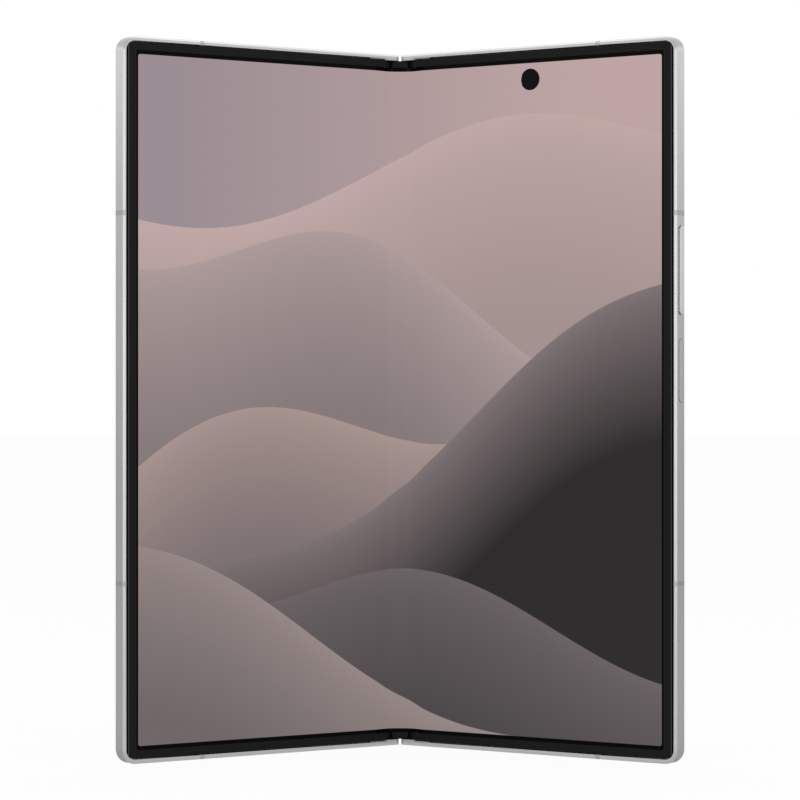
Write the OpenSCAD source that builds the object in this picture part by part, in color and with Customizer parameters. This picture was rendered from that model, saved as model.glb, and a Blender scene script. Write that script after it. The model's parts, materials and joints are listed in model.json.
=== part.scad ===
// Foldable phone: two thin halves joined by a geared hinge, one screen across both.
// Stands on its bottom edge, half open. +Z up, the screen looks towards -Y.
// The origin is on the floor, at the middle of the outline.
// In a half, s runs from the fold line to the outer side, y from the screen to the back.

/* [Overall] */
// height of the phone, along the fold
phone_height = 158.4; // [150:0.1:170]
// width of one half, from the fold line to its outer side
half_width = 71.6; // [68:0.1:80]
// thickness of one half
leaf_thickness = 4.2; // [4.2:0.05:5]
// how far each half is folded forward from flat, in degrees
rest_fold = 32.6; // [5:0.1:60]
// gap between the two screens when the phone is closed
closed_gap = 0.5; // [0.3:0.05:0.8]

/* [Frame] */
// radius of the outer corners
corner_radius = 3.2; // [2:0.1:6]
// chamfer along the front and back edges
edge_chamfer = 0.45; // [0.2:0.05:0.8]
// bright rim beside the bezel, on the outer side
side_rim = 0.75; // [0.6:0.05:1.2]
// bright rim beside the bezel, at the top and bottom
end_rim = 1.05; // [0.8:0.05:1.3]
// thickness of the frame wall round the inner parts
frame_wall = 1.7; // [1.5:0.1:2.5]
// metal floor between the screen and the inner parts
floor_wall = 0.3; // [0.25:0.05:0.5]
// metal over the spine, at the back of each half
back_wall = 0.5; // [0.4:0.05:0.7]
// width of the rail that the hinge is screwed to
rail_width = 9.05; // [8:0.05:12]
// half of the gap between the backs of the two halves when flat
leaf_gap = 0.3; // [0.15:0.05:0.4]
// half of the gap between the rounded front ends of the frame
front_gap = 0.4; // [0.3:0.05:0.6]
// width of the plastic antenna lines
antenna_width = 0.95; // [0.6:0.05:1.5]
// distance of the side antenna lines from the point midway between them
antenna_reach = 40.3; // [36:0.1:44]
// how far that point lies above mid height
antenna_rise = 0.35; // [0:0.05:1]
// distance of the end antenna lines from the outer side
antenna_inset = 19.6; // [16:0.1:22]

/* [Screen] */
// width of the bezel on the outer side
bezel_side = 2.5; // [1.5:0.1:4]
// width of the bezel at the top and bottom
bezel_end = 1.95; // [1.8:0.05:3]
// thickness of the bezel, which is how far the screen lies back
bezel_thickness = 0.25; // [0.15:0.05:0.35]
// thickness of the folding screen
screen_thickness = 0.4; // [0.3:0.05:0.5]
// thickness of the plate behind the screen
plate_thickness = 0.25; // [0.15:0.05:0.3]
// half width of the part of the screen that bends
bend_half = 5.5; // [5:0.1:6.5]
// diameter of the hole in the screen for the inner camera
punch_diameter = 4.85; // [3:0.05:5.2]
// distance of the inner camera from the fold line
punch_s = 34.8; // [30:0.1:45]
// distance of the inner camera from the top edge
punch_drop = 7.53; // [6.8:0.1:8.5]

/* [Hinge] */
// depth of the two fold axes behind the bezel front
axis_depth = 1.05; // [1:0.05:1.1]
// running gap between the spine and the halves
spine_clearance = 0.15; // [0.1:0.05:0.2]
// wall of the spine cover
cover_wall = 0.4; // [0.3:0.05:0.45]
// how far the spine ends lie below the top and bottom edges
spine_recess = 1.45; // [1.3:0.05:1.7]
// height of the black caps on the spine ends
cap_height = 1.55; // [1.2:0.05:1.55]
// running gap at the spine ends and beside the tongues and gears
end_clearance = 0.1; // [0.05:0.05:0.2]
// length of each curved-rail block
base_length = 24; // [23:0.5:28]
// distance of the rail blocks from the top and bottom edges
base_inset = 10; // [8:0.5:14]
// width of a curved tongue along the fold
tongue_width = 5; // [4:0.1:5.5]
// width of the gears along the fold
gear_width = 4; // [3:0.1:6]
// number of teeth on each gear
gear_teeth = 10; // [10:2:10]
// reach of the sync arms beyond their gears
arm_reach = 9; // [8:0.1:9]
// radius of the heads of the screws that hold the tongues
screw_head = 0.9; // [0.7:0.05:1]
// radius of the shanks of those screws
screw_shank = 0.5; // [0.3:0.05:0.55]
// height of their heads
screw_head_height = 0.25; // [0.15:0.05:0.3]
// how far they reach into the rail
screw_bite = 0.9; // [0.5:0.05:0.95]

/* [Keys and ports] */
// length of the volume key
volume_length = 19.3; // [17:0.1:20]
// clear metal between the upper antenna line and the volume key
volume_gap = 2.3; // [1.5:0.1:4]
// length of the side key
side_length = 13.7; // [12:0.1:14]
// clear metal between the two keys
key_spacing = 5.3; // [4:0.1:8]
// width of both keys, across the edge
key_width = 1.8; // [1.4:0.1:1.9]
// how far the volume key stands out
volume_proud = 0.3; // [0.2:0.05:0.4]
// how far the side key stands out
side_proud = 0.05; // [0.05:0.05:0.2]
// travel of the keys
key_travel = 0.22; // [0.15:0.01:0.22]
// gap round the keys and the tray
key_gap = 0.1; // [0.08:0.01:0.12]
// width of the charging socket opening
socket_width = 8.34; // [8.34:0.01:8.4]
// height of the charging socket opening
socket_height = 2.56; // [2.5:0.01:2.56]
// length of the card tray blade
tray_length = 14; // [12:0.5:16]

/* [Rear camera] */
// width of the raised camera plate
island_width = 16.8; // [15.5:0.1:17.5]
// height of the raised camera plate
island_height = 56; // [54:0.5:60]
// thickness of the raised camera plate
island_proud = 1.2; // [0.8:0.1:1.6]
// distance of the camera plate middle from the outer side
island_inset = 14.6; // [14.2:0.1:16]
// distance of the camera plate from the top edge
island_drop = 12.4; // [11:0.1:14]
// radius of each lens window
lens_radius = 5.3; // [4.5:0.1:5.5]
// width of the metal ring round each lens
ring_width = 1.5; // [1:0.1:1.8]

/* [Hidden] */
$fn = 48;
over = 1;

// fold axes: one on each side, at +axis_x and -axis_x
axis_x = axis_depth + closed_gap / 2;
spine_radius = leaf_thickness - back_wall - spine_clearance - axis_depth;
cover_inner = spine_radius - cover_wall;
chamber_radius = spine_radius + spine_clearance;
fold_edge = axis_x + chamber_radius;
mid_z = phone_height / 2;
spine_top = phone_height - spine_recess;
chamber_low = spine_recess - end_clearance;
chamber_high = phone_height - chamber_low;

// layers of a half, from the screen to the back
screen_back = bezel_thickness + screen_thickness;
plate_back = screen_back + plate_thickness;
bay_front = plate_back + floor_wall;
glass_thickness = back_wall;
glass_front = leaf_thickness - glass_thickness;
panel_thickness = 0.3;
panel_front = glass_front - panel_thickness;

// outlines of a half
bezel_outer = half_width - side_rim;
bezel_inner = bezel_outer - bezel_side;
bezel_open = end_rim + bezel_end;
seam = 0.05;
bezel_seam = 0.1;
bezel_fold_corner = 0.7;
bay_side = half_width - frame_wall;
rail_end = fold_edge + rail_width;
rail_slot_end = rail_end - 1;
rotator_end = rail_slot_end - 0.05;
bay_top = phone_height - frame_wall;

// curved rails
tongue_inner = 0.476 * cover_inner;
tongue_outer = 0.81 * cover_inner;
arm_front = axis_depth + 0.2;
arm_back = axis_depth + 0.405 * cover_inner;
cover_edge = arm_back + end_clearance;
base_bottom_z = base_inset;
base_top_z = phone_height - base_inset - base_length;
right_tongue_at = 3;
left_tongue_at = base_length / 2 + 2;
near_screw_at = (right_tongue_at + tongue_width + left_tongue_at) / 2;
far_screw_at = base_length - 2;
// the angles that a tongue spans round its fold axis
tongue_start = 11.5;
tongue_end = 150;

// gear train, measured in the spine
pitch_radius = cover_inner / 3;
tooth_out = 0.17 * pitch_radius;
tooth_in = 0.24 * pitch_radius;
shaft_radius = 0.25;
idler_x = pitch_radius;
idler_y = axis_depth + cover_inner - pitch_radius - tooth_out - 0.1;
sync_y = axis_depth + 1.143 * pitch_radius;
sync_x = idler_x + sqrt(pow(2 * pitch_radius, 2) - pow(idler_y - sync_y, 2));
mesh_angle = atan2(idler_y - sync_y, sync_x - idler_x);
tooth_step = 360 / gear_teeth;
gear_low = mid_z - gear_width / 2;
gear_high = mid_z + gear_width / 2;
block_length = 10;
block_screw_at = block_length - 1.8;

// the ribbon cable across the hinge
flex_spacing = 10;
flex_low = base_bottom_z + base_length + flex_spacing;
flex_width = 12;
flex_y = arm_front + 0.05;

// where each half's parts lie
antenna_mid = mid_z + antenna_rise;
volume_mid_y = leaf_thickness / 2;
volume_z = antenna_mid + antenna_reach - antenna_width / 2 - volume_gap - volume_length / 2;
side_z = volume_z - volume_length / 2 - key_spacing - side_length / 2;
key_face = half_width;
key_flange_out = half_width - 1;
key_flange_in = key_flange_out - 0.45;
key_lip = key_flange_out + 0.35;
island_s = half_width - island_inset;
island_mid = phone_height - island_drop - island_height / 2;
island_step = (island_height - island_width) / 2;
flash_s = island_s - island_width / 2 - 5.6;
flash_z = island_mid + island_step;
punch_z = phone_height - punch_drop;
socket_s = half_width / 2;
socket_wall = 0.08;
socket_y = glass_front - 0.06 - socket_wall - socket_height / 2;
camera_s = half_width / 2;
tray_face = 13.6;
tray_s = camera_s - tray_face / 2 - 5;
tray_y = leaf_thickness / 2;
antenna_s = half_width - antenna_inset;
mic_s = rail_end + 7;
battery_back = panel_front;
screw_near = fold_edge + 2.6;
screw_far = rail_slot_end - 1.65;

// room for the parts inside a half, kept clear of the rail and the rear cameras
parts_side = rail_end + 0.028 * half_width;
camera_side = island_s - 0.54 * island_width;
board_low = island_mid - 0.29 * island_height;
board_high = punch_z - 0.82 * punch_diameter;
speaker_in = socket_s + socket_width / 2 + socket_wall + 1.15;
speaker_out = antenna_s - 1;
speaker_span = speaker_out - speaker_in;
cover_camera_half = 2.8;
ear_in = camera_s + cover_camera_half + 2.2;
ear_out = antenna_s - 1.15;
ear_span = ear_out - ear_in;
magnet_out = bay_side - 0.35 * frame_wall;
magnet_in = bay_side - 1.53 * frame_wall;

// the middle of the outline lies over the origin
front_edge = min(leaf_point(half_width - edge_chamfer, 0)[1],
  leaf_point(half_width, edge_chamfer)[1]);
back_edge = max(leaf_point(leaf_gap, leaf_thickness)[1], axis_depth + spine_radius);
hinge_y = -(front_edge + back_edge) / 2;

// a point of the right half, in the spine's plane
function leaf_point(s, y) = [
  axis_x + (s - axis_x) * cos(rest_fold) + (y - axis_depth) * sin(rest_fold),
  axis_depth - (s - axis_x) * sin(rest_fold) + (y - axis_depth) * cos(rest_fold)];

// a point of the bending sheet: how far it is turned grows smoothly from the fold line
function turn_at(x) = let (t = min(x / bend_half, 1)) rest_fold * t * t * (3 - 2 * t);
function flat_s(x, y, turn) =
  axis_x + (x - axis_x - (y - axis_depth) * sin(turn)) / cos(turn);
function bend_point(x, y) = let (turn = turn_at(x), s = flat_s(x, y, turn))
  [x, axis_depth - (s - axis_x) * sin(turn) + (y - axis_depth) * cos(turn)];
join_s = flat_s(bend_half, bezel_thickness, rest_fold) + 0.02;

// one face of a bending sheet, from the fold line to the right
function sheet_side(y, reach) = concat(
  [for (i = [0:22]) bend_point(bend_half * i / 22, y)], [leaf_point(reach, y)]);
function flipped(points) = [for (i = [len(points) - 1:-1:1]) [-points[i][0], points[i][1]]];
function back_to_front(points) = [for (i = [len(points) - 1:-1:0]) points[i]];
function sheet_face(y, reach) = concat(flipped(sheet_side(y, reach)), sheet_side(y, reach));
function sheet_outline(y, thick, reach) = concat(
  sheet_face(y, reach), back_to_front(sheet_face(y + thick, reach)));

// half of a racetrack round both fold axes, open side at the axis depth
function half_track(r) = concat(
  [for (t = [0:6:90]) [axis_x + r * cos(t), axis_depth + r * sin(t)]],
  [for (t = [90:6:180]) [-axis_x + r * cos(t), axis_depth + r * sin(t)]]);

// a curved band round the right fold axis
function arc_band(r_in, r_out, from, to) = concat(
  [for (i = [0:30]) let (t = from + (to - from) * i / 30)
    [axis_x + r_out * cos(t), axis_depth + r_out * sin(t)]],
  [for (i = [30:-1:0]) let (t = from + (to - from) * i / 30)
    [axis_x + r_in * cos(t), axis_depth + r_in * sin(t)]]);

// the outline of a gear with a tooth at the given angle
function gear_outline(phase) = [for (i = [0:gear_teeth - 1], k = [0:3])
  let (r = (k == 0 || k == 3) ? pitch_radius - tooth_in : pitch_radius + tooth_out,
    part = [-0.29, -0.105, 0.105, 0.29][k], t = phase + (i + part) * tooth_step)
  [r * cos(t), r * sin(t)]];

module in_spine() {
  translate([0, hinge_y, 0])
    children();
}

module in_right_half() {
  translate([axis_x, hinge_y + axis_depth, 0])
    rotate([0, 0, -rest_fold])
      translate([-axis_x, -axis_depth, 0])
        children();
}

module in_left_half() {
  mirror([1, 0, 0])
    in_right_half()
      children();
}

// a plain block in a half: ranges along s, y and z
module block(s0, s1, y0, y1, z0, z1) {
  translate([s0, y0, z0])
    cube([s1 - s0, y1 - y0, z1 - z0]);
}

// a round post through the thickness of a half
module post(s, z, r, y0, y1) {
  translate([s, y0, z])
    rotate([-90, 0, 0])
      cylinder(r = r, h = y1 - y0);
}

// a plate with four round corners
module plate(s0, s1, z0, z1, y0, y1, r) {
  hull() {
    post(s0 + r, z0 + r, r, y0, y1);
    post(s1 - r, z0 + r, r, y0, y1);
    post(s0 + r, z1 - r, r, y0, y1);
    post(s1 - r, z1 - r, r, y0, y1);
  }
}

// a racetrack bar, long along z, through the outer side of the frame
module side_pill(z, length, width, s0, s1) {
  hull() {
    translate([s0, volume_mid_y, z - length / 2 + width / 2])
      rotate([0, 90, 0])
        cylinder(r = width / 2, h = s1 - s0, $fn = 32);
    translate([s0, volume_mid_y, z + length / 2 - width / 2])
      rotate([0, 90, 0])
        cylinder(r = width / 2, h = s1 - s0, $fn = 32);
  }
}

// a racetrack bar, long along s, through the top or bottom of the frame
module end_pill(s, y, length, width, z0, z1) {
  hull() {
    translate([s - length / 2 + width / 2, y, z0])
      cylinder(r = width / 2, h = z1 - z0, $fn = 32);
    translate([s + length / 2 - width / 2, y, z0])
      cylinder(r = width / 2, h = z1 - z0, $fn = 32);
  }
}

// ---------- pieces of the spine ----------

module track_bar(r, z0, z1) {
  translate([0, 0, z0])
    linear_extrude(z1 - z0)
      polygon(half_track(r));
}

module cover_skin(r, z0, z1) {
  translate([0, 0, z0]) {
    translate([axis_x, axis_depth, 0])
      cylinder(r = r, h = z1 - z0, $fn = 96);
    translate([-axis_x, axis_depth, 0])
      cylinder(r = r, h = z1 - z0, $fn = 96);
    translate([-axis_x, axis_depth, 0])
      cube([2 * axis_x, r, z1 - z0]);
  }
}

module spine_cover() {
  color("silver")
    in_spine()
      difference() {
        cover_skin(spine_radius, spine_recess, spine_top);
        cover_skin(cover_inner, spine_recess - over, spine_top + over);
        translate([-2 * fold_edge, -fold_edge, 0])
          cube([4 * fold_edge, fold_edge + max(cover_edge, 2 * axis_depth), phone_height]);
        for (z = spine_screw_heights())
          post(0, z, 0.35, cover_inner, axis_depth + cover_inner + 0.25);
      }
}

function spine_screw_heights() = [
  base_bottom_z + near_screw_at, base_bottom_z + far_screw_at,
  base_top_z + near_screw_at, base_top_z + far_screw_at,
  gear_low - block_screw_at, gear_high + block_screw_at];

// closes an end of the spine: a rounded front, and a plug that fills the cover behind it
module fold_cap(z0) {
  color("#1c1c1e")
    in_spine() {
      hull() {
        translate([axis_x, axis_depth, z0])
          cylinder(r = axis_depth, h = cap_height, $fn = 64);
        translate([-axis_x, axis_depth, z0])
          cylinder(r = axis_depth, h = cap_height, $fn = 64);
      }
      track_bar(cover_inner - 0.03, z0 + 0.1, z0 + cap_height - 0.1);
    }
}

module fold_cap_top() {
  fold_cap(spine_top - cap_height);
}

module fold_cap_bottom() {
  fold_cap(spine_recess);
}

// the groove for one curved tongue and the way in for its arm
module tongue_groove(z) {
  translate([0, 0, z - end_clearance]) {
    difference() {
      translate([axis_x, axis_depth, 0])
        cylinder(r = tongue_outer + 0.05, h = tongue_width + 2 * end_clearance);
      translate([axis_x, axis_depth, -over])
        cylinder(r = tongue_inner - 0.05, h = tongue_width + 2 * end_clearance + 2 * over);
    }
    translate([axis_x + tongue_inner - 0.1, 0, 0])
      cube([5, cover_edge, tongue_width + 2 * end_clearance]);
  }
}

module hinge_base(z0) {
  color("#8d9096")
    in_spine()
      difference() {
        track_bar(cover_inner, z0, z0 + base_length);
        tongue_groove(z0 + right_tongue_at);
        mirror([1, 0, 0])
          tongue_groove(z0 + left_tongue_at);
        for (z = [z0 + near_screw_at, z0 + far_screw_at]) {
          post(0, z, 0.35, 0, leaf_thickness);
          post(0, z, 0.75, 0, axis_depth + 0.3);
        }
      }
}

module hinge_base_top() {
  hinge_base(base_top_z);
}

module hinge_base_bottom() {
  hinge_base(base_bottom_z);
}

module gear_block(z0, screw_z) {
  color("#8d9096")
    in_spine()
      difference() {
        track_bar(cover_inner, z0, z0 + block_length);
        for (at = shaft_places())
          translate([at[0], at[1], gear_low - 3])
            cylinder(r = shaft_radius, h = gear_width + 6);
        post(0, screw_z, 0.35, 0, leaf_thickness);
        post(0, screw_z, 0.75, 0, axis_depth + 0.3);
      }
}

function shaft_places() = [
  [sync_x, sync_y], [idler_x, idler_y], [-idler_x, idler_y], [-sync_x, sync_y]];

module gear_block_upper() {
  gear_block(gear_high + end_clearance, gear_high + block_screw_at);
}

module gear_block_lower() {
  gear_block(gear_low - end_clearance - block_length, gear_low - block_screw_at);
}

module gear_shafts() {
  color("#c8c8cc")
    in_spine()
      for (at = shaft_places())
        translate([at[0], at[1], gear_low - 3])
          cylinder(r = shaft_radius, h = gear_width + 6);
}

module gear(x, y, phase) {
  translate([x, y, gear_low])
    difference() {
      linear_extrude(gear_width)
        polygon(gear_outline(phase));
      translate([0, 0, -over])
        cylinder(r = shaft_radius + 0.03, h = gear_width + 2 * over);
    }
}

module idler_right() {
  color("#a0a2a8")
    in_spine()
      gear(idler_x, idler_y, 0);
}

module idler_left() {
  color("#a0a2a8")
    in_spine()
      gear(-idler_x, idler_y, tooth_step / 2);
}

// an arm that turns with its gear, drawn for the right side
module sync_arm(phase) {
  difference() {
    union() {
      translate([sync_x, sync_y, gear_low])
        linear_extrude(gear_width)
          polygon(gear_outline(phase));
      translate([sync_x, sync_y, gear_low])
        rotate([0, 0, -rest_fold])
          translate([0.45 * pitch_radius, -0.78 * pitch_radius, 0.2])
            cube([arm_reach, 0.71 * pitch_radius, gear_width - 0.4]);
    }
    translate([sync_x, sync_y, gear_low - over])
      cylinder(r = shaft_radius + 0.03, h = gear_width + 2 * over);
  }
}

module sync_arm_right() {
  color("#b4b6bc")
    in_spine()
      sync_arm(tooth_step / 2 - 2 * mesh_angle);
}

module sync_arm_left() {
  color("#b4b6bc")
    in_spine()
      mirror([1, 0, 0])
        sync_arm(-2 * mesh_angle);
}

module centre_plate() {
  color("#77797f")
    in_spine()
      block(0.1 - axis_x, axis_x - 0.1, screen_back + 0.05, axis_depth - 0.1,
        bezel_open + 1, phone_height - bezel_open - 1);
}

module screw_along_y(s, z, head_r, shank_r, y0, y1, y2) {
  post(s, z, head_r, y0, y1);
  post(s, z, shank_r, y1, y2);
}

module spine_screws() {
  color("#5a5c62")
    in_spine()
      for (z = spine_screw_heights())
        screw_along_y(0, z, 0.7, 0.35, axis_depth, axis_depth + 0.3,
          axis_depth + cover_inner + 0.25);
}

module display_fold() {
  color("#9a8f95")
    in_spine()
      translate([0, 0, bezel_open + 0.05])
        linear_extrude(phone_height - 2 * bezel_open - 0.1)
          polygon(sheet_outline(bezel_thickness, screen_thickness, join_s));
}

module fold_flex() {
  color("#8a5a2a")
    in_spine()
      translate([0, 0, flex_low])
        linear_extrude(flex_width)
          polygon(sheet_outline(flex_y, 0.12, rail_end + 1.5));
}

// ---------- frames ----------

module frame_outer() {
  hull() {
    for (z = [corner_radius, phone_height - corner_radius]) {
      post(half_width - corner_radius, z, corner_radius - edge_chamfer, 0, leaf_thickness);
      post(half_width - corner_radius, z, corner_radius, edge_chamfer,
        leaf_thickness - edge_chamfer);
    }
    for (z = [0.4 + edge_chamfer, phone_height - 0.4 - edge_chamfer])
      post(leaf_gap + 0.4, z, 0.4, 0, leaf_thickness);
    for (z = [0.4, phone_height - 0.4])
      post(leaf_gap + 0.4, z, 0.4, edge_chamfer, leaf_thickness - edge_chamfer);
  }
}

// room for the spine, in the frame of a half
module spine_chamber() {
  translate([0, 0, chamber_low])
    linear_extrude(chamber_high - chamber_low)
      polygon(concat([[-over, -over], [fold_edge, -over]],
        [for (t = [0:6:90]) [axis_x + chamber_radius * cos(t),
          axis_depth + chamber_radius * sin(t)]],
        [[-over, axis_depth + chamber_radius]]));
}

// rounds the front of the fold ends of the frame
module end_rounding() {
  r = axis_x - front_gap;
  difference() {
    block(-over, axis_x, -over, r, -over, phone_height + over);
    translate([axis_x, r, -2 * over])
      cylinder(r = r, h = phone_height + 4 * over);
  }
}

module antenna_slabs() {
  w = antenna_width / 2;
  for (z = [antenna_mid - antenna_reach, antenna_mid + antenna_reach])
    block(bay_side, half_width + over, -over, leaf_thickness + over, z - w, z + w);
  block(antenna_s - w, antenna_s + w, -over, leaf_thickness + over, -over, frame_wall);
  block(antenna_s - w, antenna_s + w, -over, leaf_thickness + over,
    bay_top, phone_height + over);
}

// the pockets for the bezel, the screen and the back glass
module front_and_back_pockets() {
  plate(fold_edge - 3, bezel_outer + seam, end_rim - seam, phone_height - end_rim + seam,
    -over, bezel_thickness, corner_radius - side_rim - 0.3);
  plate(join_s - 0.1, bezel_outer + seam, end_rim - seam, phone_height - end_rim + seam,
    -over, plate_back, corner_radius - side_rim - 0.3);
  plate(fold_edge + 0.4, bezel_outer + seam, end_rim - seam, phone_height - end_rim + seam,
    glass_front, leaf_thickness + over, corner_radius - side_rim - 0.3);
  block(axis_x, rail_slot_end, -over, arm_back, bezel_open, phone_height - bezel_open);
  block(rail_end, bay_side, bay_front, leaf_thickness, frame_wall, bay_top);
  block(fold_edge - 1, rail_slot_end, arm_back - over, arm_back + 0.5,
    gear_low - 0.5, gear_high + 0.5);
  block(fold_edge - 1, rail_end + over, flex_y, arm_back + 0.5,
    flex_low - 0.5, flex_low + flex_width + 0.5);
}

module bezel_lip() {
  block(-over, fold_edge, -over, leaf_thickness / 2, -over, chamber_low);
  block(-over, fold_edge, -over, leaf_thickness / 2, chamber_high, phone_height + over);
}

module frame_solid() {
  difference() {
    frame_outer();
    difference() {
      front_and_back_pockets();
      bezel_lip();
    }
    spine_chamber();
    end_rounding();
  }
}

function rotator_screws(z0, at) = [
  [screw_near, z0 + at + tongue_width / 2], [screw_far, z0 + at + tongue_width / 2]];
function right_screws() = concat(
  rotator_screws(base_bottom_z, right_tongue_at), rotator_screws(base_top_z, right_tongue_at));
function left_screws() = concat(
  rotator_screws(base_bottom_z, left_tongue_at), rotator_screws(base_top_z, left_tongue_at));

module screw_holes(places) {
  for (at = places)
    post(at[0], at[1], screw_shank, 0, arm_back + screw_bite);
}

// a row of five round outlets through an end of the frame, from s = out inwards
module speaker_holes(out, span, z) {
  for (i = [0:4])
    translate([out - (0.122 + 0.194 * i) * span, volume_mid_y + 0.2, z])
      cylinder(r = 0.55, h = frame_wall + 2 * over, $fn = 24);
}

module right_frame() {
  color("#b9bbc0")
    in_right_half()
      difference() {
        frame_solid();
        antenna_slabs();
        screw_holes(right_screws());
        side_pill(volume_z, volume_length + 2 * key_gap, key_width + 2 * key_gap,
          key_lip - 0.01, half_width + over);
        block(bay_side - over, key_lip, volume_mid_y - key_width / 2 - key_gap,
          volume_mid_y + key_width / 2 + key_gap,
          volume_z - volume_length / 2 - 1.1, volume_z + volume_length / 2 + 1.1);
        side_pill(side_z, side_length + 2 * key_gap, key_width + 2 * key_gap,
          key_flange_out - 0.01, half_width + over);
        block(bay_side - over, key_flange_out, volume_mid_y - key_width / 2 - key_gap,
          volume_mid_y + key_width / 2 + key_gap,
          side_z - side_length / 2 - 0.85, side_z + side_length / 2 + 0.85);
        socket_body(-over, 8);
        post(punch_s, punch_z, 2.9, 0, leaf_thickness - 1);
        speaker_holes(speaker_out, speaker_span, -over);
        translate([mic_s, volume_mid_y + 0.2, -over])
          cylinder(r = 0.4, h = frame_wall + 2 * over, $fn = 24);
      }
}

// room for the outer screen's panel, in the back of the left half
module panel_pocket() {
  plate(fold_edge + 1, half_width - 1.3, 1.6, phone_height - 1.6,
    panel_front, leaf_thickness, 1.5);
}

module left_frame() {
  color("#b9bbc0")
    in_left_half()
      difference() {
        frame_solid();
        antenna_slabs();
        screw_holes(left_screws());
        panel_pocket();
        tray_slot();
        speaker_holes(ear_out, ear_span, bay_top - over);
        translate([tray_s + tray_face / 2 + 2.7, tray_y, bay_top - over])
          cylinder(r = 0.45, h = frame_wall + 2 * over, $fn = 24);
        translate([mic_s, volume_mid_y + 0.2, -over])
          cylinder(r = 0.4, h = frame_wall + 2 * over, $fn = 24);
      }
}

module antenna_inserts() {
  intersection() {
    frame_solid();
    antenna_slabs();
  }
}

module right_antenna_breaks() {
  color("#a4a6ab")
    in_right_half()
      antenna_inserts();
}

module left_antenna_breaks() {
  color("#a4a6ab")
    in_left_half()
      difference() {
        antenna_inserts();
        panel_pocket();
      }
}

// ---------- screen and bezel ----------

module bezel() {
  low = end_rim + bezel_seam;
  high = phone_height - low;
  difference() {
    hull() {
      plate(fold_edge + 5, bezel_outer - bezel_seam, low, high,
        0, bezel_thickness, corner_radius - side_rim - 0.35 - bezel_seam);
      plate(fold_edge, fold_edge + 5, low, high, 0, bezel_thickness, bezel_fold_corner);
    }
    plate(fold_edge - 5, bezel_inner, bezel_open, phone_height - bezel_open,
      -over, bezel_thickness + over, 0.5);
  }
}

module right_bezel() {
  color("#26262a")
    in_right_half()
      bezel();
}

module left_bezel() {
  color("#26262a")
    in_left_half()
      bezel();
}

module screen_sheet(y0, y1, inset) {
  plate(join_s, bezel_outer - inset, end_rim + inset, phone_height - end_rim - inset,
    y0, y1, corner_radius - side_rim - 0.35 - inset);
}

module right_display() {
  color("#a0949a")
    in_right_half()
      difference() {
        screen_sheet(bezel_thickness, screen_back, 0.1);
        post(punch_s, punch_z, punch_diameter / 2, 0, leaf_thickness);
      }
}

module left_display() {
  color("#a0949a")
    in_left_half()
      screen_sheet(bezel_thickness, screen_back, 0.1);
}

module right_display_plate() {
  color("#6d6f75")
    in_right_half()
      difference() {
        screen_sheet(screen_back, plate_back, 0.2);
        post(punch_s, punch_z, 2.9, 0, leaf_thickness);
      }
}

module left_display_plate() {
  color("#6d6f75")
    in_left_half()
      screen_sheet(screen_back, plate_back, 0.2);
}

// ---------- hinge pieces of the halves ----------

module rotator(z, places) {
  difference() {
    union() {
      translate([0, 0, z])
        linear_extrude(tongue_width)
          polygon(arc_band(tongue_inner, tongue_outer, tongue_start, tongue_end));
      block(axis_x + tongue_inner + 0.08, rotator_end, arm_front, arm_back,
        z, z + tongue_width);
      block(fold_edge + 1, rotator_end, arm_front, arm_back,
        z - 1.2, z + tongue_width + 1.2);
    }
    for (at = places)
      post(at[0], at[1], screw_shank, 0, leaf_thickness);
  }
}

module rotator_right_top() {
  color("#9fa1a7")
    in_right_half()
      rotator(base_top_z + right_tongue_at, right_screws());
}

module rotator_right_bottom() {
  color("#9fa1a7")
    in_right_half()
      rotator(base_bottom_z + right_tongue_at, right_screws());
}

module rotator_left_top() {
  color("#9fa1a7")
    in_left_half()
      rotator(base_top_z + left_tongue_at, left_screws());
}

module rotator_left_bottom() {
  color("#9fa1a7")
    in_left_half()
      rotator(base_bottom_z + left_tongue_at, left_screws());
}

module hinge_screws(places) {
  for (at = places)
    screw_along_y(at[0], at[1], screw_head, screw_shank,
      arm_front - screw_head_height, arm_front, arm_back + screw_bite);
}

module right_hinge_screws() {
  color("#5a5c62")
    in_right_half()
      hinge_screws(right_screws());
}

module left_hinge_screws() {
  color("#5a5c62")
    in_left_half()
      hinge_screws(left_screws());
}

// ---------- parts inside the right half ----------

module right_battery() {
  color("#3c3e44")
    in_right_half()
      plate(parts_side, camera_side, 0.165 * phone_height,
        island_mid - 0.36 * island_height, bay_front, battery_back, 1.5);
}

module charging_coil() {
  coil_s = (parts_side + camera_side) / 2;
  coil_z = 0.4 * phone_height;
  color("#b06a34")
    in_right_half()
      difference() {
        post(coil_s, coil_z, 0.195 * half_width, battery_back, glass_front);
        post(coil_s, coil_z, 0.112 * half_width, battery_back - over, glass_front + over);
      }
}

module mainboard() {
  color("#1f4a34")
    in_right_half()
      plate(parts_side, camera_side, board_low, board_high,
        bay_front, bay_front + 0.7, 1);
}

module shield_can() {
  color("#c4c6ca")
    in_right_half()
      plate(parts_side + 2, camera_side - 2, board_low + 2, board_high - 2,
        bay_front + 0.7, battery_back - 0.4, 0.6);
}

module island_pill(width, y0, y1) {
  hull() {
    post(island_s, island_mid - island_step, width / 2, y0, y1);
    post(island_s, island_mid + island_step, width / 2, y0, y1);
  }
}

module back_pane() {
  plate(fold_edge + 0.45, bezel_outer, end_rim, phone_height - end_rim,
    glass_front, leaf_thickness, corner_radius - side_rim - 0.35);
}

module rear_glass() {
  color("#a2a4a9")
    in_right_half()
      difference() {
        back_pane();
        island_pill(island_width - 1.6, glass_front - over, leaf_thickness + over);
        post(flash_s, flash_z, 2.4, 0, leaf_thickness + over);
      }
}

function lens_heights() = [island_mid - island_step, island_mid, island_mid + island_step];

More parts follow.
